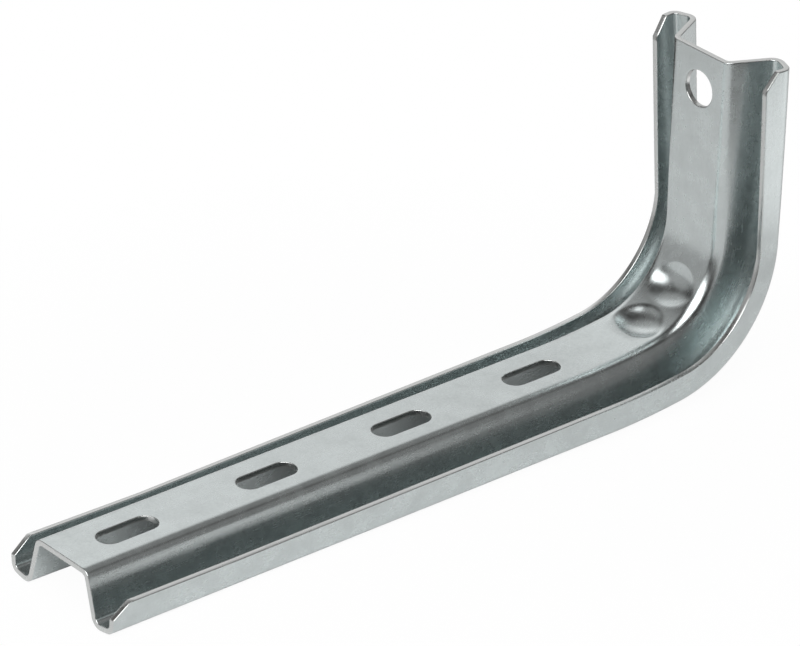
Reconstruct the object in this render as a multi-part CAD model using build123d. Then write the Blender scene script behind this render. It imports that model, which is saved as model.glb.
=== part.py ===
from build123d import *
import math
import os

# Cantilever strut arm: one strip of zinc-coated steel, rolled to an open hat section with
# upturned lips and bent a quarter turn, so that the long arm stands out from a wall and the
# short upright is bolted to it. The hat's web is on the inside of the bend.
# Millimetres. X runs from the wall out along the arm, Y across it and Z up. The run of the
# strip is laid out from the wall's face at X = 0 and the line of the arm's feet at Z = 0, with
# Y = 0 at the middle of the web. At the end it is moved so that the origin is the middle of
# the wall bolt's hole, on the face that the bolt's head seats on.

# The strip and its hat section, as corners of the sheet's middle line across half of it
sheet = 1.8
hat_height = 17.2
web_half = 11.0
flank_foot = 13.8
foot_out = 21.1
foot_rise = 0.6
lip_lean = 1.4
lip_height = 10.0

# Inner radii of the section's bends
web_bend = 1.6
foot_bend = 2.0
lip_bend = 1.4

# The run of the strip: angles in degrees, radii at the web's face on the inside of the bend
arm_reach = 252.0
upright_top = 104.0
lead_angle = 7.0
lead_radius = 220.0
main_radius = 27.0
lead_steps = 4
main_steps = 6

# How far each side of the hat is sprung open about the web's corner, in degrees
spread_tip = 4.9
spread_arm = 2.4
spread_tip_length = 45.0
spread_bend = 8.8
spread_upright = 1.5
spread_top = 16.0

# Slots in the arm's web and the wall bolt's hole in the upright
slot_count = 4
slot_pitch = 50.0
slot_width = 8.0
slot_length = 20.4
slot_from_tip = 22.7
hole_diameter = 11.5
hole_from_top = 12.2

# The lips' corners are cropped at both ends
crop_along = 5.8
crop_down = 4.5

# Two round hollows pressed into the web through the bend, the gap between them along its face
hollow_angles = (17.0, 50.0)
hollow_gap = 2.0
hollow_half_width = 8.6
hollow_depth = 2.0
hollow_edge = 2.4
hollow_back_edge = 0.8

lead_foot_radius = lead_radius + hat_height
main_foot_radius = main_radius + hat_height
hollow_pitch = math.radians(hollow_angles[1] - hollow_angles[0]) * main_radius
hollow_half_length = (hollow_pitch - hollow_gap) / 2
lead_turn = math.radians(lead_angle)
quarter_turn = math.pi / 2
arm_start = lead_foot_radius * math.sin(lead_turn) + main_foot_radius * (1 - math.sin(lead_turn))
upright_start = lead_foot_radius * (1 - math.cos(lead_turn)) + main_foot_radius * math.cos(lead_turn)
bend_centre = Vector(main_foot_radius, 0, upright_start)
hole_height = upright_top - hole_from_top
across = Vector(0, 1, 0)
flat_within = 0.0001
outline_samples = 40


def blend(first, last, share):
    """The value a share of the way from first to last."""
    return first + (last - first) * share


def half_corners(spread):
    """Middle line of half the hat, as (across, up) corners from the web's corner to the lip's edge.

    The side is turned about the web's corner by spread degrees."""
    corner = Vector(web_half, hat_height - sheet / 2)
    side = [
        Vector(flank_foot, sheet / 2),
        Vector(foot_out, sheet / 2 + foot_rise),
        Vector(foot_out + lip_lean, lip_height),
    ]
    return [corner] + [corner + (point - corner).rotate(Axis.Z, spread) for point in side]


def shifted(corners, distance):
    """The corners moved square to their line by distance, to the left of the way it runs."""
    moved = []
    for place, corner in enumerate(corners):
        before = corner - corners[max(place - 1, 0)]
        after = corners[min(place + 1, len(corners) - 1)] - corner
        sideways = [way.normalized().rotate(Axis.Z, 90) for way in (before, after) if way.length > 0]
        middle = (sideways[0] + sideways[-1]).normalized()
        moved.append(corner + middle * (distance / middle.dot(sideways[0])))
    return moved


def hat_face(plane, spread):
    """The strip's cross-section on a plane whose x runs across the arm and y from foot to web."""
    right = half_corners(spread)
    left = [Vector(-point.X, point.Y) for point in reversed(right)]
    upper = shifted(left + right, sheet / 2)
    lower = shifted(left + right, -sheet / 2)
    upper_radii = [lip_bend, foot_bend, web_bend + sheet]
    lower_radii = [lip_bend + sheet, foot_bend + sheet, web_bend]
    upper_line = FilletPolyline(*upper, radius=upper_radii + upper_radii[::-1])
    lower_line = FilletPolyline(*lower, radius=lower_radii + lower_radii[::-1])
    ends = [Line(upper[0], lower[0]), Line(upper[-1], lower[-1])]
    return plane * Face(Wire(upper_line.edges() + lower_line.edges() + ends))


def web_way(turn):
    """The way from foot to web once the strip has turned up by turn radians."""
    return Vector(math.sin(turn), 0, math.cos(turn))


def run_plane(foot, turn):
    """Plane square to the run at a point of the line of the feet."""
    return Plane(origin=foot, x_dir=across, z_dir=across.cross(web_way(turn)))


def bend_foot(turn):
    """Where the line of the feet is once the strip has turned up by turn radians."""
    if turn > lead_turn:
        return bend_centre - web_way(turn) * main_foot_radius
    return Vector(arm_start, 0, lead_foot_radius) - web_way(turn) * lead_foot_radius


def arm_faces():
    """Sections along the straight arm, from its tip to where the bend starts."""
    near_tip = arm_reach - spread_tip_length
    places = [
        (arm_reach, spread_tip),
        (near_tip, spread_arm),
        (blend(near_tip, arm_start, 0.5), blend(spread_arm, spread_bend, 0.5)),
        (arm_start, spread_bend),
    ]
    return [hat_face(run_plane((x, 0, 0), 0), spread) for x, spread in places]


def turned_faces(first_turn, last_turn, steps):
    """Sections round a stretch of the bend, evenly spaced by turn."""
    turns = [blend(first_turn, last_turn, step / steps) for step in range(steps + 1)]
    spreads = [blend(spread_bend, spread_upright, turn / quarter_turn) for turn in turns]
    return [hat_face(run_plane(bend_foot(turn), turn), spread) for turn, spread in zip(turns, spreads)]


def upright_faces():
    """Sections up the straight upright, from the end of the bend to its top."""
    faces = []
    for share in (0, 0.5, 1):
        foot = (0, 0, blend(upright_start, upright_top, share))
        faces.append(hat_face(run_plane(foot, quarter_turn), blend(spread_upright, spread_top, share)))
    return faces


def flattened(wall):
    """A true plane in place of a loft's wall that is flat, or else the wall as it is."""
    outline = wall.outer_wire()
    points = outline.positions([sample / outline_samples for sample in range(outline_samples)])
    middle = wall.center()
    heights = [abs((point - middle).dot(wall.normal_at(middle))) for point in points]
    return Face(outline) if max(heights) < flat_within else wall


def strip():
    """The plain bent strip: the walls of its stretches, closed by the tip's and the top's ends."""
    arm, upright = arm_faces(), upright_faces()
    bend = turned_faces(0, lead_turn, lead_steps)[:-1] + turned_faces(lead_turn, quarter_turn, main_steps)
    walls = []
    for sections in (arm, bend, upright):
        lofted = loft(sections).faces()
        walls += [flattened(wall) for wall in lofted if wall.geom_type != GeomType.PLANE]
    return Solid(Shell(walls + [arm[0], upright[-1]]))


def hollow_barrel(turn, growth):
    """The pressing punch at turn radians, grown all round by growth.

    It is a barrel lying across the web. Its round section along the run goes through both ends
    of the hollow, an arc of hollow_half_length away from its middle on the main radius, and
    through its deepest point. Its outline across the web is an arc by the same rule, and it ends
    a sheet beyond the hollow's sides."""
    half_angle = hollow_half_length / main_radius
    sagitta = hollow_depth + main_radius * (1 - math.cos(half_angle))
    inward = hollow_depth * (2 * main_radius + hollow_depth) / (2 * sagitta)
    punch_radius = main_radius + hollow_depth - inward + growth
    crown_radius = (hollow_half_width ** 2 + hollow_depth ** 2) / (2 * hollow_depth) + growth
    reach = hollow_half_width + sheet
    waist = punch_radius - crown_radius + math.sqrt(crown_radius ** 2 - reach ** 2)
    axis_point = bend_centre - web_way(turn) * inward
    plane = Plane(origin=axis_point, x_dir=across, z_dir=across.cross(web_way(turn)))
    crown = ThreePointArc((-reach, waist), (0, punch_radius), (reach, waist))
    sides = [Line((reach, waist), (reach, 0)), Line((reach, 0), (-reach, 0)), Line((-reach, 0), (-reach, waist))]
    return revolve(plane * Face(Wire(crown.edges() + sides)), Axis(axis_point, across))


def rims(body, radius):
    """The closed rims of the hollows on the face of the bent web with this radius."""
    found = []
    for edge in body.edges():
        point = edge.position_at(0.3)
        on_face = abs((point - bend_centre).cross(across).length - radius) < sheet / 4
        if on_face and edge.is_closed:
            found.append(edge)
    return found


def with_hollows(body):
    """The strip with the hollows pressed into its web, the sheet as thick as before."""
    outer = Cylinder(main_radius + hollow_depth + 2 * sheet, 2 * flank_foot)
    inner = Cylinder(main_radius + sheet / 2, 2 * flank_foot)
    behind_web = Pos(*bend_centre) * Rot(90, 0, 0) * (outer - inner)
    for angle in hollow_angles:
        body = body + (hollow_barrel(math.radians(angle), sheet) & behind_web)
    for angle in hollow_angles:
        body = body - hollow_barrel(math.radians(angle), 0)
    body = body.fillet(hollow_edge, rims(body, main_radius))
    return body.fillet(hollow_back_edge, rims(body, main_radius + sheet))


def tray_slots():
    """Cutters for the slots along the arm's web."""
    cutter = extrude(SlotOverall(slot_length, slot_width), hat_height)
    first = arm_reach - slot_from_tip
    return [Pos(first - slot_pitch * index, 0, sheet) * cutter for index in range(slot_count)]


def wall_hole():
    """Cutter for the bolt's hole near the top of the upright."""
    plane = Plane(origin=(sheet, 0, hole_height), z_dir=(1, 0, 0))
    return extrude(plane * Circle(hole_diameter / 2), hat_height)


def lip_crops(plane, spread):
    """Cutters for both lips' corners at one end; the plane's x leaves the strip and its y is up."""
    edge = half_corners(spread)[-1].Y
    corners = [
        (-2 * crop_along, edge + crop_down),
        (crop_along, edge - 2 * crop_down),
        (crop_along, edge + crop_down),
    ]
    flat = plane * Polygon(*corners, align=None)
    cutter = Pos(0, foot_out - sheet / 4, 0) * extrude(flat, foot_out / 2, dir=(0, 1, 0))
    return [cutter, mirror(cutter, Plane.XZ)]


def build_arm():
    """The finished arm, with the wall bolt's hole at the origin."""
    tip_plane = Plane(origin=(arm_reach, 0, 0), x_dir=(1, 0, 0), z_dir=(0, -1, 0))
    top_plane = Plane(origin=(0, 0, upright_top), x_dir=(0, 0, 1), z_dir=(0, 1, 0))
    body = with_hollows(strip())
    for cutter in lip_crops(tip_plane, spread_tip) + lip_crops(top_plane, spread_top):
        body = body - cutter
    for cutter in tray_slots() + [wall_hole()]:
        body = body - cutter
    return Pos(-hat_height, 0, -hole_height) * body


os.makedirs("parts", exist_ok=True)
export_step(build_arm(), "parts/strut_arm.step")
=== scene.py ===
import math

import bpy
import numpy as np
from bpy.props import FloatProperty, FloatVectorProperty, IntProperty, PointerProperty
from mathutils import Matrix, Vector


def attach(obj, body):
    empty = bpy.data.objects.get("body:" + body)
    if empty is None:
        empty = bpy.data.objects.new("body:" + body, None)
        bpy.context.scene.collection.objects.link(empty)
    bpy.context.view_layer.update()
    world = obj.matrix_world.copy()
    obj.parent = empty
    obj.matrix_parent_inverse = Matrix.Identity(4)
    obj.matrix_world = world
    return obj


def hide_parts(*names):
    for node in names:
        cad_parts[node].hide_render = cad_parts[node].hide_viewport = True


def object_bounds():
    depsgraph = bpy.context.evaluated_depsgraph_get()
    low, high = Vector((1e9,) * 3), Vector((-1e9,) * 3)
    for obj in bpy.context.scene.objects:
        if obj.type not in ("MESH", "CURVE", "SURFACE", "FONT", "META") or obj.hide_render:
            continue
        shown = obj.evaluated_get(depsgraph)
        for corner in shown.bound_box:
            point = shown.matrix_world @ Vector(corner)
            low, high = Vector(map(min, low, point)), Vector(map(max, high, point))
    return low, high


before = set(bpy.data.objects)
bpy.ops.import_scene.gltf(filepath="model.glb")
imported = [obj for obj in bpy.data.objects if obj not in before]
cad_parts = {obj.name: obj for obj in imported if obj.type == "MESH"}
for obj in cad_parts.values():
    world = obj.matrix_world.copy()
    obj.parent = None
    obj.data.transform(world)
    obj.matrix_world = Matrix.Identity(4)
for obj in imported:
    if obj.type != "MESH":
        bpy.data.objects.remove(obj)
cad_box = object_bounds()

bl_info = {
    "name": "Cantilever strut arm",
    "version": (1, 0, 0),
    "blender": (4, 5, 0),
    "location": "3D View > Sidebar > Strut arm",
    "description": "Builds a bent open-hat steel strut arm with a slotted web, its zinc finish and a studio",
    "category": "Add Mesh",
}

# All lengths are in metres and all angles in radians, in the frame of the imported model: the origin
# is the middle of the wall bolt's hole on the face that the bolt's head seats on, +X runs along the
# arm away from the wall, +Y across it and +Z up the upright.

MM = 0.001
NODE = "strut_arm"


def length(name, description, millimetres):
    """A property for a length, with its default in millimetres."""
    return FloatProperty(name=name, description=description, default=millimetres * MM,
                         min=0.0, subtype="DISTANCE", unit="LENGTH", precision=5)


def angle(name, description, degrees):
    """A property for an angle, with its default in degrees."""
    return FloatProperty(name=name, description=description, default=math.radians(degrees),
                         subtype="ANGLE", unit="ROTATION")


def linear(hex_colour):
    """The linear RGBA value of an sRGB colour written as hex digits."""
    shares = [int(hex_colour[place:place + 2], 16) / 255 for place in (0, 2, 4)]
    return tuple(s / 12.92 if s <= 0.04045 else ((s + 0.055) / 1.055) ** 2.4 for s in shares) + (1.0,)


def colour(name, description, hex_colour):
    """A property for a colour, with its default as sRGB hex digits."""
    return FloatVectorProperty(name=name, description=description, default=linear(hex_colour),
                               size=4, min=0.0, max=1.0, subtype="COLOR")


# Sizes, colours and places that a user would change


class StripSizes(bpy.types.PropertyGroup):
    """Sizes of the bent strip"""

    sheet: length("Sheet", "Thickness of the steel sheet", 1.8)
    hat_height: length("Hat height", "Height of the hat from its feet to the face of its web", 17.2)
    web_half: length("Half web", "Half the width of the web, at the corners of the sheet's middle line", 11.0)
    flank_foot: length("Flank foot", "Half width at the foot of the flanks", 13.8)
    foot_out: length("Foot", "Half width at the outer side of the feet", 21.1)
    foot_rise: length("Foot rise", "How far the feet rise towards the lips", 0.6)
    lip_lean: length("Lip lean", "How far the lips lean outwards", 1.4)
    lip_height: length("Lip height", "Height of the lips' edges", 10.0)
    web_bend: length("Web bend", "Inner radius of the bends beside the web", 1.6)
    foot_bend: length("Foot bend", "Inner radius of the bends at the foot of the flanks", 2.0)
    lip_bend: length("Lip bend", "Inner radius of the bends at the foot of the lips", 1.4)
    cut_round: length("Cut edge", "Radius of the worn edges that the shears and punches leave", 0.22)
    arm_reach: length("Arm reach", "From the wall to the arm's tip", 252.0)
    upright_top: length("Upright top", "From the line of the arm's feet to the upright's top", 104.0)
    lead_radius: length("Lead-in radius", "Radius of the web's face where the bend starts", 220.0)
    main_radius: length("Bend radius", "Radius of the web's face round the bend", 27.0)
    lead_angle: angle("Lead-in angle", "Turn over which the bend starts", 7.0)
    spread_tip: angle("Spread at the tip", "How far each side is sprung open at the arm's tip", 4.9)
    spread_arm: angle("Spread of the arm", "How far each side is sprung open along the arm", 2.4)
    spread_bend: angle("Spread at the bend", "How far each side is sprung open where the bend starts", 8.8)
    spread_upright: angle("Spread of the upright", "How far each side is sprung open after the bend", 1.5)
    spread_top: angle("Spread at the top", "How far each side is sprung open at the upright's top", 16.0)
    spread_tip_length: length("Tip spread length", "Length over which the tip is sprung open", 45.0)


class OpeningSizes(bpy.types.PropertyGroup):
    """Sizes of the slots, the hole, the cropped lips and the pressed hollows"""

    slot_count: IntProperty(name="Slots", description="Number of slots along the arm", default=4, min=1)
    slot_pitch: length("Slot pitch", "Distance between the middles of two slots", 50.0)
    slot_width: length("Slot width", "Width of a slot", 8.0)
    slot_length: length("Slot length", "Length of a slot from end to end", 20.4)
    slot_from_tip: length("First slot", "From the arm's tip to the middle of the first slot", 22.7)
    hole_diameter: length("Hole", "Diameter of the wall bolt's hole", 11.5)
    hole_from_top: length("Hole from top", "From the upright's top to the middle of the hole", 12.2)
    crop_along: length("Crop along", "Length of the lips' cropped corners along the strip", 5.8)
    crop_down: length("Crop down", "Height of the lips' cropped corners", 4.5)
    hollow_first: angle("First hollow", "Turn of the bend at the middle of the lower hollow", 17.0)
    hollow_second: angle("Second hollow", "Turn of the bend at the middle of the upper hollow", 50.0)
    hollow_gap: length("Hollow gap", "Gap between the two hollows along the web", 2.0)
    hollow_half_width: length("Hollow width", "Half the width of a hollow across the web", 8.6)
    hollow_depth: length("Hollow depth", "Depth of a hollow under the bent web", 2.0)
    hollow_edge: length("Hollow edge", "Height over which a hollow's rim is rounded on the web's face", 0.6)
    hollow_back_edge: length("Hollow back edge", "The same on the web's back", 0.17)


class ZincColours(bpy.types.PropertyGroup):
    """Colours of the zinc-coated steel"""

    light: colour("Light zinc", "The brighter patches of the zinc", "D1D8D8")
    dark: colour("Dark zinc", "The duller patches of the zinc", "BDC3C3")
    mark: colour("Marks", "Small dull marks and specks", "8A8F8F")
    cut: colour("Cut edge", "Bare steel where the strip was cut and punched", "CBCDCC")


class StudioPlaces(bpy.types.PropertyGroup):
    """Where the camera stands and how the lights are set"""

    azimuth: angle("Azimuth", "The camera's bearing round the arm", 139.2338)
    elevation: angle("Elevation", "The camera's height angle", 28.1412)
    roll: angle("Roll", "The camera's roll", 1.5175)
    distance: length("Distance", "From the camera to the point that it aims at", 1697.1)
    focal: FloatProperty(name="Focal length", description="The lens, on a sensor 36 mm wide", default=263.65)
    key_light: FloatProperty(name="Key light", description="Power of the main light", default=14.0,
                             unit="POWER")
    overhead: colour("Overhead", "The dim warm ceiling that the metal mirrors", "302C2A")


# The shape of the strip

QUARTER_TURN = math.pi / 2

# The grid of points: the spacing of the rows on the straight stretches and of the columns across
# the web's middle, the number of rows round the lead-in and the bend, and the number of columns on
# each piece across half of the hat.
ARM_STEP = 2.2 * MM
UPRIGHT_STEP = 1.6 * MM
WEB_STEP = 0.5 * MM
LEAD_STEPS = 12
MAIN_STEPS = 96
OUTLINE_STEPS = {"web": 4, "flank": 10, "foot": 3, "lip": 6, "bend": 8}


def blend(first, last, share):
    """The value a share of the way from first to last."""
    return first + (last - first) * share


def turned_left(ways):
    """Flat directions turned a quarter turn to the left: (x, y) becomes (-y, x)."""
    return np.stack([-ways[..., 1], ways[..., 0]], axis=-1)


def stations(keys, spacing):
    """Places that include every key, with steps of about the spacing between two keys."""
    found = [np.array(keys[:1])]
    for start, end in zip(keys[:-1], keys[1:]):
        steps = max(int(math.ceil(abs(end - start) / spacing)), 1)
        found.append(np.linspace(start, end, steps + 1)[1:])
    return np.concatenate(found)


def bend_radii(sizes):
    """The radii of the line of the feet round the lead-in and round the bend."""
    return sizes.lead_radius + sizes.hat_height, sizes.main_radius + sizes.hat_height


def bend_start(sizes):
    """Where the arm ends along X and where the upright starts along Z.

    The lead-in's arc and the main arc touch each other at the lead-in's angle, the first touches
    the straight arm and the second the straight upright."""
    lead, main = bend_radii(sizes)
    turn = sizes.lead_angle
    arm_start = lead * math.sin(turn) + main * (1 - math.sin(turn))
    upright_start = lead * (1 - math.cos(turn)) + main * math.cos(turn)
    return arm_start, upright_start


def slot_middles(openings):
    """How far the middle of each slot is from the arm's tip."""
    return [openings.slot_from_tip + index * openings.slot_pitch for index in range(openings.slot_count)]


def run_of_strip(sizes, openings):
    """The run of the strip from the arm's tip to the upright's top, as rows.

    Each row has its foot on the line of the feet, the way from foot to web, which is
    (sin turn, 0, cos turn), its spread, how far it is from the tip and how far from the nearer
    end. The foot is at x on the straight arm and at z on the upright, and on an arc it is the
    arc's centre less the radius times the way."""
    edge = sizes.cut_round
    arm_start, upright_start = bend_start(sizes)
    lead, main = bend_radii(sizes)
    arm_length = sizes.arm_reach - arm_start
    half_window = (openings.slot_length + sizes.sheet) / 2
    keys = [edge, 2 * edge, openings.crop_along]
    for middle in slot_middles(openings):
        keys += [middle - half_window, middle + half_window]
    along = stations(keys + [arm_length], ARM_STEP)
    lead_turns = np.linspace(0, sizes.lead_angle, LEAD_STEPS + 1)[1:]
    main_turns = np.linspace(sizes.lead_angle, QUARTER_TURN, MAIN_STEPS + 1)[1:]
    hole = sizes.upright_top - openings.hole_from_top
    half_hole = openings.hole_diameter / 2 + sizes.sheet
    up_keys = [upright_start, hole - half_hole, sizes.upright_top - openings.crop_along,
               hole + half_hole, sizes.upright_top - 2 * edge, sizes.upright_top - edge]
    up = stations(up_keys, UPRIGHT_STEP)[1:]

    turn = np.concatenate([0 * along, lead_turns, main_turns, 0 * up + QUARTER_TURN])
    way = np.stack([np.sin(turn), 0 * turn, np.cos(turn)], axis=-1)
    centre = np.zeros_like(way)
    radius = np.zeros_like(turn)
    arm, lead_in = slice(0, len(along)), slice(len(along), len(along) + len(lead_turns))
    upright = slice(len(turn) - len(up), len(turn))
    bent = slice(lead_in.stop, upright.start)
    centre[arm, 0] = sizes.arm_reach - along
    centre[lead_in, 0], centre[lead_in, 2], radius[lead_in] = arm_start, lead, lead
    centre[bent, 0], centre[bent, 2], radius[bent] = main, upright_start, main
    centre[upright, 2] = up
    foot = centre - way * radius[:, None]

    near_tip = sizes.spread_tip_length
    spread = np.interp(along, [0, near_tip, arm_length],
                       [sizes.spread_tip, sizes.spread_arm, sizes.spread_bend])
    lead_spread = blend(sizes.spread_bend, sizes.spread_upright, lead_turns / QUARTER_TURN)
    main_spread = blend(sizes.spread_bend, sizes.spread_upright, main_turns / QUARTER_TURN)
    up_share = (up - upright_start) / (sizes.upright_top - upright_start)
    up_spread = blend(sizes.spread_upright, sizes.spread_top, up_share)
    spread = np.concatenate([spread, lead_spread, main_spread, up_spread])

    steps = np.linalg.norm(np.diff(foot + way * sizes.hat_height, axis=0), axis=1)
    travelled = np.concatenate([[0], np.cumsum(steps)]) + edge
    return {"foot": foot, "way": way, "spread": spread, "travelled": travelled,
            "from_end": np.minimum(travelled, travelled[-1] + edge - travelled)}


def straight_piece(start, end, shares):
    """Points start + (end - start) * share for each row, and the direction, the same all along."""
    points = start[:, None, :] + (end - start)[:, None, :] * shares[None, :, None]
    way = (end - start) / np.linalg.norm(end - start, axis=1, keepdims=True)
    return points, np.repeat(way[:, None, :], len(shares), axis=1)


def bent_piece(start, way, turn, radius, shares):
    """An arc for each row that leaves start along way and turns by turn at the radius.

    At an angle a from its start it is start + radius * (sin |a| * way + (1 - cos a) * side), where
    side is square to way on the side that the arc turns to."""
    angles = turn[:, None] * shares[None, :]
    side = turned_left(way) * np.sign(turn)[:, None]
    points = start[:, None, :] + radius * (np.sin(np.abs(angles))[..., None] * way[:, None, :]
                                           + (1 - np.cos(angles))[..., None] * side[:, None, :])
    ways = (np.cos(angles)[..., None] * way[:, None, :]
            + np.sin(angles)[..., None] * turned_left(way)[:, None, :])
    return points, ways


def column_shares(name):
    """The shares of a piece of the outline at which its columns lie, without its start."""
    steps = OUTLINE_STEPS[name]
    return np.arange(1, steps + 1) / steps


def half_outline(sizes, openings, run, window_half):
    """The sheet's middle line across the right half of the hat, for each row of the run.

    Its corners are joined by straight pieces, and each corner is rounded by an arc that starts
    radius * tan(turn / 2) before it. The side is turned about the web's corner by the row's
    spread. Near both ends the lip is shorter, by the line of the cropped corner."""
    spread, half = run["spread"], sizes.sheet / 2
    corner = np.array([sizes.web_half, sizes.hat_height - half])
    side = np.array([[sizes.flank_foot, half], [sizes.foot_out, half + sizes.foot_rise],
                     [sizes.foot_out + sizes.lip_lean, sizes.lip_height]]) - corner
    cos, sin = np.cos(spread)[:, None], np.sin(spread)[:, None]
    turned = np.stack([side[:, 0] * cos - side[:, 1] * sin, side[:, 0] * sin + side[:, 1] * cos], axis=-1)
    rows = len(spread)
    start = np.tile([window_half, corner[1]], (rows, 1))
    points = [start] + [np.tile(corner, (rows, 1))] + [corner + turned[:, place] for place in range(3)]
    ways = [(end - begin) / np.linalg.norm(end - begin, axis=1, keepdims=True)
            for begin, end in zip(points[:-1], points[1:])]
    radii = [sizes.web_bend + half, sizes.foot_bend + half, sizes.lip_bend + half]
    bends = []
    for before, after, radius in zip(ways[:-1], ways[1:], radii):
        cross = before[:, 0] * after[:, 1] - before[:, 1] * after[:, 0]
        turn = np.arctan2(cross, np.sum(before * after, axis=1))
        bends.append((turn, radius, radius * np.tan(np.abs(turn) / 2)))

    crop = openings.crop_down * np.clip(1 - run["from_end"] / openings.crop_along, 0, 1) / ways[3][:, 1]
    lip_end = points[4] - ways[3] * (crop + sizes.cut_round)[:, None]
    pieces = []
    left = start
    for place, name in enumerate(("web", "flank", "foot")):
        turn, radius, trim = bends[place]
        right = points[place + 1] - ways[place] * trim[:, None]
        pieces.append(straight_piece(left, right, column_shares(name)))
        pieces.append(bent_piece(right, ways[place], turn, radius, column_shares("bend")))
        left = pieces[-1][0][:, -1]
    near_edge = 1 - 2 * sizes.cut_round / np.linalg.norm(lip_end - left, axis=1).mean()
    shares = np.concatenate([column_shares("lip") * near_edge, [1.0]])
    pieces.append(straight_piece(left, lip_end, shares))
    return np.concatenate([p[0] for p in pieces], axis=1), np.concatenate([p[1] for p in pieces], axis=1)


def hat_outline(sizes, openings, run, window_half):
    """The sheet's middle line across the whole hat, from left to right, and its upper normal.

    The web's middle is the line from -window_half to window_half, the right half is the outline
    above and the left half is its mirror image. The normal is the direction turned left.

    The last two values are the column where the openings' windows start and how many steps they
    take. With an odd number of steps, as here, the start is one column past the middle's first, so
    the openings lie about half a millimetre off centre, towards +Y."""
    points, ways = half_outline(sizes, openings, run, window_half)
    normals = turned_left(ways)
    rows = points.shape[0]
    count = int(math.ceil(2 * window_half / WEB_STEP))
    middle = np.zeros((rows, count + 1, 2))
    middle[..., 0] = np.linspace(-window_half, window_half, count + 1)
    middle[..., 1] = sizes.hat_height - sizes.sheet / 2
    upward = np.zeros_like(middle)
    upward[..., 1] = 1
    mirror = np.array([-1, 1])
    points = np.concatenate([points[:, ::-1] * mirror, middle, points], axis=1)
    normals = np.concatenate([normals[:, ::-1] * mirror, upward, normals], axis=1)
    return points, normals, points.shape[1] // 2 - count // 2, count


def eased(value, width):
    """The value where it is over width, 0 where it is under -width, and a parabola between."""
    inside = (value + width) ** 2 / (4 * width)
    return np.where(value > width, value, np.where(value < -width, 0, inside))


def hollow_depths(sizes, openings, run, across, growth, edge):
    """How deep the two hollows reach under the web's face at each row and place across.

    A hollow is pressed by a barrel that lies across the web. Seen from the bend's centre, the
    barrel's surface is at inward * cos a + sqrt(R * R - inward * inward * sin a * sin a), where a
    is the angle from the hollow's middle, kept under a quarter turn, and R is the barrel's radius
    there, smaller by a second arc away from its middle. The web's face is at its own distance,
    which is the bend's radius round the bend and more before it. Growth is 0 for the face and the
    sheet's thickness for the web's back."""
    face, depth = sizes.main_radius, openings.hollow_depth
    half_angle = (openings.hollow_second - openings.hollow_first - openings.hollow_gap / face) / 2
    sagitta = depth + face * (1 - math.cos(half_angle))
    inward = depth * (2 * face + depth) / (2 * sagitta)
    crown = (openings.hollow_half_width ** 2 + depth ** 2) / (2 * depth) + growth
    radius = face + depth - inward + growth - crown + np.sqrt(np.maximum(crown ** 2 - across ** 2, 0))
    centre = np.array([bend_radii(sizes)[1], 0, bend_start(sizes)[1]])
    arm_to_centre = run["foot"] + run["way"] * (sizes.hat_height - growth) - centre
    distance = np.linalg.norm(arm_to_centre, axis=1)[:, None]
    bearing = np.arctan2(-arm_to_centre[:, 0], -arm_to_centre[:, 2])[:, None]
    total = np.zeros_like(across)
    widest = 1.5
    for middle in (openings.hollow_first, openings.hollow_second):
        off = np.clip(bearing - middle, -widest, widest)
        reach = inward * np.cos(off) + np.sqrt(np.maximum(radius ** 2 - (inward * np.sin(off)) ** 2, 0))
        total += eased(reach - distance, edge)
    return total


def placed(sizes, openings, points):
    """The points moved from the strip's own run to the frame, where the bolt's hole is the origin."""
    hole = sizes.upright_top - openings.hole_from_top
    return points - np.array([sizes.hat_height, 0, hole])


# The mesh of the strip

# The turns of the rows round a worn edge in degrees, how bare the steel is at the first turn, and
# where the rings that close in on an opening lie, as shares of the way from its edge to the window.
EDGE_TURNS = (30, 60, 90)
FIRST_ROW_BARE = 0.6
RING_SHARES = (0.6, 0.3, 0.12, 0.0)


class SheetMesh:
    """Vertices, quads and surface places gathered as whole arrays."""

    def __init__(self):
        self.points, self.faces, self.places, self.cuts = [], [], [], []
        self.count = 0

    def add(self, points, places, cut=0.0):
        """Adds vertices with their places on the unrolled strip, and returns their numbers."""
        shape = points.shape[:-1]
        numbers = self.count + np.arange(int(np.prod(shape))).reshape(shape)
        self.points.append(points.reshape(-1, 3))
        self.places.append(np.broadcast_to(places, shape + (2,)).reshape(-1, 2))
        self.cuts.append(np.full(numbers.size, cut))
        self.count += numbers.size
        return numbers

    def quads(self, lower, upper, flip=False, kept=...):
        """Quads between rows of vertex numbers, from lower to upper, facing left of that way.

        Kept marks the quads that stay, which are all of them where it isn't given."""
        corners = np.stack([lower[..., :-1], lower[..., 1:], upper[..., 1:], upper[..., :-1]], axis=-1)
        corners = corners[kept].reshape(-1, 4)
        self.faces.append(corners[:, ::-1] if flip else corners)

    def ring(self, outer, inner, flip=False):
        """Quads between two closed loops of vertex numbers."""
        self.quads(np.append(outer, outer[0]), np.append(inner, inner[0]), flip)

    def object(self, name):
        """A smooth mesh object of what was added, at the origin."""
        mesh = bpy.data.meshes.new(name)
        mesh.from_pydata(np.concatenate(self.points).tolist(), [], np.concatenate(self.faces).tolist())
        corner_vertices = np.empty(len(mesh.loops), dtype=np.int32)
        mesh.loops.foreach_get("vertex_index", corner_vertices)
        strip_map = mesh.uv_layers.new(name="strip")
        strip_map.uv.foreach_set("vector", np.concatenate(self.places)[corner_vertices].ravel())
        cut = mesh.attributes.new("cut_edge", "FLOAT", "POINT")
        cut.data.foreach_set("value", np.concatenate(self.cuts))
        mesh.shade_smooth()
        mesh.validate()
        made = bpy.data.objects.new(name, mesh)
        bpy.context.collection.objects.link(made)
        return made


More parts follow.
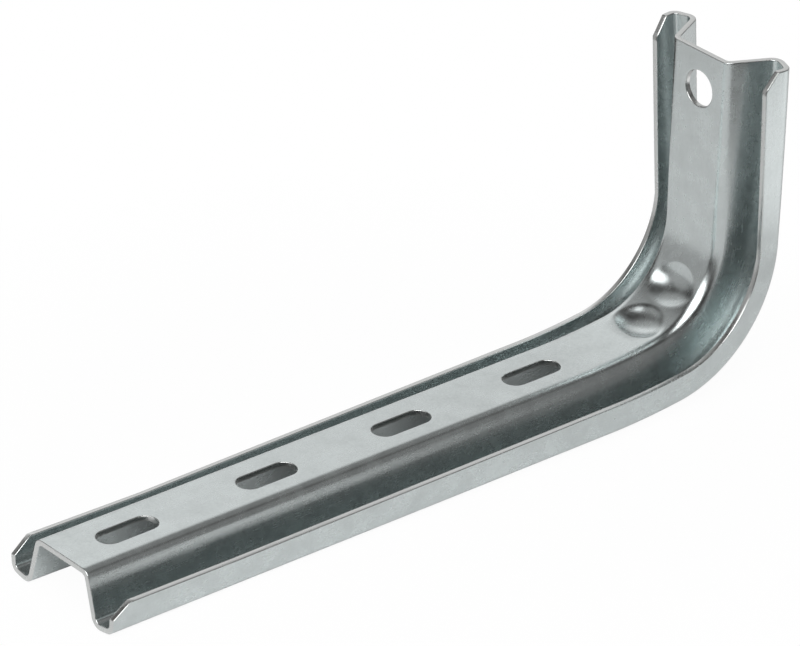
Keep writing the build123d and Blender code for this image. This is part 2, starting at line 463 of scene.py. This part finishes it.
def window_loop(grid, first_row, last_row, first_column, last_column):
    """The vertex numbers round a window of the grid, against the clock seen from the web's face."""
    return np.concatenate([
        grid[first_row, first_column:last_column],
        grid[first_row:last_row, last_column],
        grid[last_row, last_column:first_column:-1],
        grid[last_row:first_row:-1, first_column],
    ])


def cut_rim(mesh, sizes, front, back, middle, normal, outward, places):
    """Closes the sheet along a cut: from the front loop round two rounded edges to the back loop.

    At an angle a on a rounded edge the point is middle + outward * r * sin a
    + normal * (half - r * (1 - cos a)), where half is half the sheet's thickness."""
    radius, half = sizes.cut_round, sizes.sheet / 2
    last = front
    for side, angles in ((1, EDGE_TURNS), (-1, EDGE_TURNS[::-1])):
        for degrees in angles:
            turn = math.radians(degrees)
            height = side * (half - radius * (1 - math.cos(turn)))
            points = middle + outward * radius * math.sin(turn) + normal * height
            row = mesh.add(points, places, cut=FIRST_ROW_BARE if degrees == EDGE_TURNS[0] else 1.0)
            mesh.ring(last, row)
            last = row
    mesh.ring(last, back)


def punched_opening(mesh, sizes, front_grid, back_grid, middle, normal, places, window, spine, radius):
    """Fills a window of the web with rings that close in on a slot or a round hole, and its rim.

    The opening is every place nearer than radius to the spine, a line along the strip of that
    half length. A ring's points lie on the line from the window's edge to the nearest point of the
    opening's edge, at a shrinking share of the way."""
    front = window_loop(front_grid, *window)
    back = window_loop(back_grid, *window)
    numbers = window_loop(np.arange(middle.shape[0] * middle.shape[1]).reshape(middle.shape[:2]), *window)
    loop, loop_places = middle.reshape(-1, 3)[numbers], places.reshape(-1, 2)[numbers]
    up = normal.reshape(-1, 3)[numbers]
    centre = (loop.max(axis=0) + loop.min(axis=0)) / 2
    along = middle[window[1], window[2]] - middle[window[0], window[2]]
    along = along / np.linalg.norm(along)
    reach = np.clip((loop - centre) @ along, -spine, spine)
    nearest = centre + reach[:, None] * along
    inward = nearest - loop
    inward /= np.linalg.norm(inward, axis=1, keepdims=True)
    edge = nearest - inward * (radius + sizes.cut_round)
    half = sizes.sheet / 2
    for share in RING_SHARES:
        ring = edge + (loop - edge) * share
        front_row = mesh.add(ring + up * half, loop_places)
        back_row = mesh.add(ring - up * half, loop_places)
        mesh.ring(front, front_row)
        mesh.ring(back, back_row, flip=True)
        front, back = front_row, back_row
    cut_rim(mesh, sizes, front, back, edge, up, inward, loop_places)


def strut_arm_mesh(sizes, openings):
    """The whole bent strip with its openings and hollows, as one closed smooth mesh."""
    window_half = 7.2 * MM
    run = run_of_strip(sizes, openings)
    flat, flat_normal, first_column, columns = hat_outline(sizes, openings, run, window_half)
    across = np.array([0.0, 1.0, 0.0])
    way = run["way"][:, None, :]
    middle = run["foot"][:, None, :] + flat[..., 1:] * way + flat[..., :1] * across
    normal = flat_normal[..., 1:] * way + flat_normal[..., :1] * across
    middle = placed(sizes, openings, middle)
    steps = np.linalg.norm(np.diff(flat, axis=1), axis=2)
    width = np.concatenate([np.zeros((len(steps), 1)), np.cumsum(steps, axis=1)], axis=1)
    width = width - width[:, -1:] / 2
    places = np.stack([np.broadcast_to(run["travelled"][:, None], width.shape), width], axis=-1)

    half = sizes.sheet / 2
    beside = OUTLINE_STEPS["web"] + OUTLINE_STEPS["bend"]
    on_web = slice(first_column - beside, first_column + columns + beside + 1)
    front = middle + normal * half
    back = middle - normal * half
    pressed = [(front, 0.0, openings.hollow_edge), (back, sizes.sheet, openings.hollow_back_edge)]
    for surface, growth, edge in pressed:
        depth = hollow_depths(sizes, openings, run, flat[:, on_web, 0], growth, edge)
        surface[:, on_web] -= way * depth[..., None]

    mesh = SheetMesh()
    front_grid = mesh.add(front, places)
    back_grid = mesh.add(back, places)
    kept = np.ones((front.shape[0] - 1, front.shape[1] - 1), dtype=bool)
    last_column = first_column + columns

    cuts = [(place, (openings.slot_length + sizes.sheet) / 2,
             (openings.slot_length - openings.slot_width) / 2, openings.slot_width / 2)
            for place in slot_middles(openings)]
    total = run["travelled"][-1] + sizes.cut_round
    cuts.append((total - openings.hole_from_top, openings.hole_diameter / 2 + sizes.sheet,
                 0.0, openings.hole_diameter / 2))
    for place, half_window, spine, radius in cuts:
        first_row = int(np.argmin(np.abs(run["travelled"] - place + half_window)))
        last_row = int(np.argmin(np.abs(run["travelled"] - place - half_window)))
        window = (first_row, last_row, first_column, last_column)
        kept[first_row:last_row, first_column:last_column] = False
        punched_opening(mesh, sizes, front_grid, back_grid, middle, normal, places, window, spine, radius)

    for grid, flip in ((front_grid, False), (back_grid, True)):
        mesh.quads(grid[:-1], grid[1:], flip, kept)

    border = (0, front.shape[0] - 1, 0, front.shape[1] - 1)
    numbers = window_loop(np.arange(front_grid.size).reshape(front_grid.shape), *border)[::-1]
    loop, up = middle.reshape(-1, 3)[numbers], normal.reshape(-1, 3)[numbers]
    tangent = np.roll(loop, -1, axis=0) - np.roll(loop, 1, axis=0)
    outward = np.cross(up, tangent)
    outward /= np.linalg.norm(outward, axis=1, keepdims=True)
    cut_rim(mesh, sizes, front_grid.ravel()[numbers], back_grid.ravel()[numbers], loop, up, outward,
            places.reshape(-1, 2)[numbers])
    return mesh


# Materials


def add_node(tree, kind, settings=(), values=(), links=()):
    """Adds a node, sets its own settings and its sockets' values, and links sockets to its inputs."""
    added = tree.nodes.new(kind)
    for name, value in dict(settings).items():
        setattr(added, name, value)
    for socket, value in dict(values).items():
        added.inputs[socket].default_value = value
    for socket, source in dict(links).items():
        tree.links.new(source, added.inputs[socket])
    return added


def new_material(name):
    """An empty material and its node tree."""
    material = bpy.data.materials.new(name)
    material.use_nodes = True
    material.node_tree.nodes.clear()
    return material, material.node_tree


def per_metre(millimetres):
    """The noise scale at which a pattern's cells are that many millimetres across."""
    return 1 / (millimetres * MM)


def zinc_coated_steel(colours):
    """Zinc-coated strip steel, roll-formed: a satin grey metal, faintly mottled.

    The hot zinc sets in patches with slightly different shine, the rolls leave faint streaks
    along the strip, and handling leaves small dull marks. Cut edges show bare steel."""
    mottle_share = 0.7
    streak_roughness = 0.08
    mark_roughness = 0.2
    material, tree = new_material("zinc_coated_strip_steel")
    place = add_node(tree, "ShaderNodeTexCoord")
    own = place.outputs["Object"]
    patches = add_node(tree, "ShaderNodeTexNoise",
                       values={"Scale": per_metre(7), "Detail": 4.0, "Roughness": 0.6}, links={"Vector": own})
    grain = add_node(tree, "ShaderNodeTexNoise", values={"Scale": per_metre(0.35), "Detail": 2.0},
                     links={"Vector": own})
    # The streaks are some hundredths of a millimetre wide on the real strip. They are drawn a few
    # tenths wide, or the render couldn't show them.
    stretched = add_node(tree, "ShaderNodeMapping", values={"Scale": (per_metre(40), per_metre(0.5), 1.0)},
                         links={"Vector": place.outputs["UV"]})
    streaks = add_node(tree, "ShaderNodeTexNoise", values={"Scale": 1.0, "Detail": 3.0},
                       links={"Vector": stretched.outputs["Vector"]})
    specks = add_node(tree, "ShaderNodeTexNoise",
                      values={"Scale": per_metre(2.6), "Detail": 2.0, "Roughness": 0.7},
                      links={"Vector": own})
    marks = add_node(tree, "ShaderNodeMapRange",
                     values={"From Min": 0.80, "From Max": 0.88, "To Min": 0.0, "To Max": 0.4},
                     links={"Value": specks.outputs["Fac"]})
    cut = add_node(tree, "ShaderNodeAttribute", settings={"attribute_name": "cut_edge"})

    mottle = add_node(tree, "ShaderNodeTexNoise",
                      values={"Scale": per_metre(0.9), "Detail": 4.0, "Roughness": 0.8},
                      links={"Vector": own})
    mixed = add_node(tree, "ShaderNodeMath", settings={"operation": "MULTIPLY_ADD"}, values={1: mottle_share},
                     links={0: mottle.outputs["Fac"], 2: patches.outputs["Fac"]})
    patch_share = add_node(tree, "ShaderNodeMapRange", values={"From Min": 0.57, "From Max": 1.13},
                           links={"Value": mixed.outputs["Value"]})
    zinc = add_node(tree, "ShaderNodeMix", settings={"data_type": "RGBA"},
                    values={6: tuple(colours.dark), 7: tuple(colours.light)},
                    links={0: patch_share.outputs["Result"]})
    marked = add_node(tree, "ShaderNodeMix", settings={"data_type": "RGBA"}, values={7: tuple(colours.mark)},
                      links={0: marks.outputs["Result"], 6: zinc.outputs[2]})
    finished = add_node(tree, "ShaderNodeMix", settings={"data_type": "RGBA"}, values={7: tuple(colours.cut)},
                        links={0: cut.outputs["Fac"], 6: marked.outputs[2]})

    dullness = add_node(tree, "ShaderNodeMapRange",
                        values={"From Min": 0.3, "From Max": 0.7, "To Min": 0.18, "To Max": 0.26},
                        links={"Value": patches.outputs["Fac"]})
    streaked = add_node(tree, "ShaderNodeMath", settings={"operation": "MULTIPLY_ADD"},
                        values={1: streak_roughness},
                        links={0: streaks.outputs["Fac"], 2: dullness.outputs["Result"]})
    roughened = add_node(tree, "ShaderNodeMath", settings={"operation": "MULTIPLY_ADD"},
                         values={1: mark_roughness},
                         links={0: marks.outputs["Result"], 2: streaked.outputs["Value"]})
    fine = add_node(tree, "ShaderNodeBump", values={"Strength": 1.0, "Distance": 0.016 * MM},
                    links={"Height": grain.outputs["Fac"]})
    lined = add_node(tree, "ShaderNodeBump", values={"Strength": 0.2, "Distance": 0.02 * MM},
                     links={"Height": streaks.outputs["Fac"], "Normal": fine.outputs["Normal"]})
    shader = add_node(tree, "ShaderNodeBsdfPrincipled", values={"Metallic": 1.0},
                      links={"Base Color": finished.outputs[2], "Roughness": roughened.outputs["Value"],
                             "Normal": lined.outputs["Normal"]})
    add_node(tree, "ShaderNodeOutputMaterial", links={"Surface": shader.outputs["BSDF"]})
    return material


def white_paper():
    """The round white sheet that the arm stands on: plain white to the camera, with a soft shadow.

    The camera sees mostly its glow, which is whole at the sheet's rim, so that the rim can't be
    told from the surround. Metal mirrors it as it is lit, with the arm's shadow on it and a
    little of the glow."""
    mirrored_share = 0.04
    material, tree = new_material("white_paper")
    paths = add_node(tree, "ShaderNodeLightPath")
    place = add_node(tree, "ShaderNodeTexCoord")
    out = add_node(tree, "ShaderNodeVectorMath", settings={"operation": "LENGTH"},
                   links={0: place.outputs["Object"]})
    share = add_node(tree, "ShaderNodeMapRange",
                     values={"From Min": 100 * MM, "From Max": 200 * MM, "To Min": 0.96, "To Max": 1.0},
                     links={"Value": out.outputs["Value"]})
    mirrored = add_node(tree, "ShaderNodeMath", settings={"operation": "MULTIPLY"},
                        values={1: mirrored_share},
                        links={0: paths.outputs["Is Glossy Ray"]})
    seen = add_node(tree, "ShaderNodeMath", settings={"operation": "MULTIPLY_ADD"},
                    links={0: paths.outputs["Is Camera Ray"], 1: share.outputs["Result"],
                           2: mirrored.outputs["Value"]})
    paper = add_node(tree, "ShaderNodeBsdfDiffuse", values={"Color": linear("EEEEEE")})
    glow = add_node(tree, "ShaderNodeEmission", values={"Color": (1, 1, 1, 1), "Strength": 1.0})
    mixed = add_node(tree, "ShaderNodeMixShader",
                     links={0: seen.outputs["Value"], 1: paper.outputs["BSDF"], 2: glow.outputs["Emission"]})
    add_node(tree, "ShaderNodeOutputMaterial", links={"Surface": mixed.outputs["Shader"]})
    return material


# The studio

# The point that the camera aims at and the width of its sensor, both in millimetres, and how far
# it sees, in metres
CAMERA_AIM = (102.667, -12.164, -50.164)
SENSOR_WIDTH = 36.0
FARTHEST = 20.0

# The point that the key light shines at, the way from there to the light, how far off it is and
# the side of its square, in metres
ARM_MIDDLE = (0.10, 0.0, -0.05)
KEY_LIGHT_WAY = (0.45, 0.52, 0.72)
KEY_LIGHT_DISTANCE = 1.2
KEY_LIGHT_SIZE = 1.0

FLOOR_RADIUS = 0.21
FLOOR_CORNERS = 96

# The surround's soft patches of light. Each has its azimuth and elevation seen from the arm, the
# angles off its middle at which it has faded out and is whole, all in degrees, and its strength
# over the dim overhead.
PATCHES = (
    (230.8, 16, 41, 20, 0.79),
    (186, 54, 34, 16, 0.23),
    (127, 18, 32, 14, 0.22),
    (262, 41, 33, 14, 0.42),
    (318, 4, 37, 16, 0.43),
    (138, -40, 31, 15, 1.18),
    (182, -25, 24, 12, 0.75),
    (3, 38, 24, 14, 2.50),
)


def camera_axes(azimuth, elevation, roll):
    """The camera's right, up and back directions.

    Back is (sin a * cos e, -cos a * cos e, sin e), right is the world's up crossed with it, and
    both right and up are then rolled about it."""
    back = Vector((math.sin(azimuth) * math.cos(elevation), -math.cos(azimuth) * math.cos(elevation),
                   math.sin(elevation)))
    right = Vector((0, 0, 1)).cross(back).normalized()
    up = back.cross(right)
    return (right * math.cos(roll) + up * math.sin(roll),
            up * math.cos(roll) - right * math.sin(roll), back)


def add_camera(studio):
    """The camera of the photograph, aimed at a point a little inside the arm's box."""
    aim = Vector(CAMERA_AIM) * MM
    right, up, back = camera_axes(studio.azimuth, studio.elevation, studio.roll)
    data = bpy.data.cameras.new("camera")
    data.lens, data.sensor_width, data.sensor_fit = studio.focal, SENSOR_WIDTH, "HORIZONTAL"
    data.clip_end = FARTHEST
    camera = bpy.data.objects.new("camera", data)
    turned = Matrix((right, up, back)).transposed().to_4x4()
    camera.matrix_world = Matrix.Translation(aim + back * studio.distance) @ turned
    bpy.context.collection.objects.link(camera)
    bpy.context.scene.camera = camera


def add_area_light(name, way, distance, size, power):
    """A square soft light that shines at the arm's middle from a direction."""
    data = bpy.data.lights.new(name, "AREA")
    data.size, data.energy = size, power
    light = bpy.data.objects.new(name, data)
    back = Vector(way).normalized()
    right = Vector((0, 0, 1)).cross(back).normalized()
    turned = Matrix((right, back.cross(right), back)).transposed().to_4x4()
    light.matrix_world = Matrix.Translation(Vector(ARM_MIDDLE) + back * distance) @ turned
    bpy.context.collection.objects.link(light)


def add_floor(material):
    """A round floor at the arm's lowest point: corners at (r cos a, r sin a) round the arm's middle."""
    low, high = cad_box
    turns = np.linspace(0, 2 * math.pi, FLOOR_CORNERS + 1)[:-1]
    rim = np.stack([np.cos(turns), np.sin(turns), 0 * turns], axis=-1) * FLOOR_RADIUS
    mesh = bpy.data.meshes.new("floor")
    mesh.from_pydata(rim.tolist(), [], [list(range(len(turns)))])
    mesh.materials.append(material)
    floor = bpy.data.objects.new("floor", mesh)
    floor.location = ((low[0] + high[0]) / 2, (low[1] + high[1]) / 2, low[2])
    bpy.context.collection.objects.link(floor)


def way_to(azimuth, elevation):
    """The direction (cos e * cos a, cos e * sin a, sin e) for angles in degrees."""
    turn, rise = math.radians(azimuth), math.radians(elevation)
    return math.cos(rise) * math.cos(turn), math.cos(rise) * math.sin(turn), math.sin(rise)


def set_world(overhead):
    """A dim ceiling with soft patches of light all round, and plain white to the camera.

    A patch adds its strength times a smooth step of the cosine between the way looked along and
    the way to the patch."""
    world = bpy.data.worlds.new("surround")
    bpy.context.scene.world = world
    world.use_nodes = True
    tree = world.node_tree
    tree.nodes.clear()
    looked = add_node(tree, "ShaderNodeTexCoord")
    total = add_node(tree, "ShaderNodeRGB")
    total.outputs[0].default_value = tuple(overhead)
    level = total.outputs[0]
    for azimuth, elevation, faded, whole, strength in PATCHES:
        cosine = add_node(tree, "ShaderNodeVectorMath", settings={"operation": "DOT_PRODUCT"},
                          values={1: way_to(azimuth, elevation)}, links={0: looked.outputs["Generated"]})
        patch = add_node(tree, "ShaderNodeMapRange", settings={"interpolation_type": "SMOOTHSTEP"},
                         values={"From Min": math.cos(math.radians(faded)),
                                 "From Max": math.cos(math.radians(whole)),
                                 "To Min": 0.0, "To Max": strength},
                         links={"Value": cosine.outputs["Value"]})
        added = add_node(tree, "ShaderNodeMix", settings={"data_type": "RGBA", "blend_type": "ADD"},
                         values={0: 1.0}, links={6: level, 7: patch.outputs["Result"]})
        level = added.outputs[2]
    paths = add_node(tree, "ShaderNodeLightPath")
    seen = add_node(tree, "ShaderNodeMix", settings={"data_type": "RGBA"}, values={7: (1, 1, 1, 1)},
                    links={0: paths.outputs["Is Camera Ray"], 6: level})
    light = add_node(tree, "ShaderNodeBackground", links={"Color": seen.outputs[2]})
    add_node(tree, "ShaderNodeOutputWorld", links={"Surface": light.outputs["Background"]})


# Operators and the panel


class STRUT_OT_arm(bpy.types.Operator):
    """Build the bent strip with its slots, bolt hole and pressed hollows"""

    bl_idname = "strut.arm"
    bl_label = "Strut arm"

    def execute(self, context):
        sizes, openings = context.scene.strip_sizes, context.scene.opening_sizes
        arm = strut_arm_mesh(sizes, openings).object("strut_arm_strip")
        arm.data.materials.append(zinc_coated_steel(context.scene.zinc_colours))
        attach(arm, "root")
        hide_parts(NODE)
        return {"FINISHED"}


class STRUT_OT_studio(bpy.types.Operator):
    """Set up the camera, the white floor, the lit surround and the key light"""

    bl_idname = "strut.studio"
    bl_label = "Studio"

    def execute(self, context):
        studio = context.scene.studio_places
        add_camera(studio)
        add_floor(white_paper())
        set_world(studio.overhead)
        add_area_light("key_light", KEY_LIGHT_WAY, KEY_LIGHT_DISTANCE, KEY_LIGHT_SIZE, studio.key_light)
        return {"FINISHED"}


class STRUT_PT_panel(bpy.types.Panel):
    """The strut arm's operators and values"""

    bl_idname = "STRUT_PT_panel"
    bl_label = "Strut arm"
    bl_space_type = "VIEW_3D"
    bl_region_type = "UI"
    bl_category = "Strut arm"

    def draw(self, context):
        self.layout.operator(STRUT_OT_arm.bl_idname)
        self.layout.operator(STRUT_OT_studio.bl_idname)
        for group_name in GROUPS:
            box = self.layout.box()
            group = getattr(context.scene, group_name)
            for name in group.__annotations__:
                box.prop(group, name)


GROUPS = {
    "strip_sizes": StripSizes,
    "opening_sizes": OpeningSizes,
    "zinc_colours": ZincColours,
    "studio_places": StudioPlaces,
}
CLASSES = tuple(GROUPS.values()) + (STRUT_OT_arm, STRUT_OT_studio, STRUT_PT_panel)


def register():
    """Registers the classes and hangs the value groups on the scene."""
    for listed in CLASSES:
        bpy.utils.register_class(listed)
    for name, group in GROUPS.items():
        setattr(bpy.types.Scene, name, PointerProperty(type=group))


def unregister():
    """Takes the value groups and the classes away again."""
    for name in GROUPS:
        delattr(bpy.types.Scene, name)
    for listed in reversed(CLASSES):
        bpy.utils.unregister_class(listed)


def main():
    """Builds the arm and its studio."""
    register()
    bpy.context.scene.view_settings.view_transform = "Standard"
    bpy.ops.strut.arm()
    bpy.ops.strut.studio()
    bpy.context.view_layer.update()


if __name__ == "__main__":
    main()
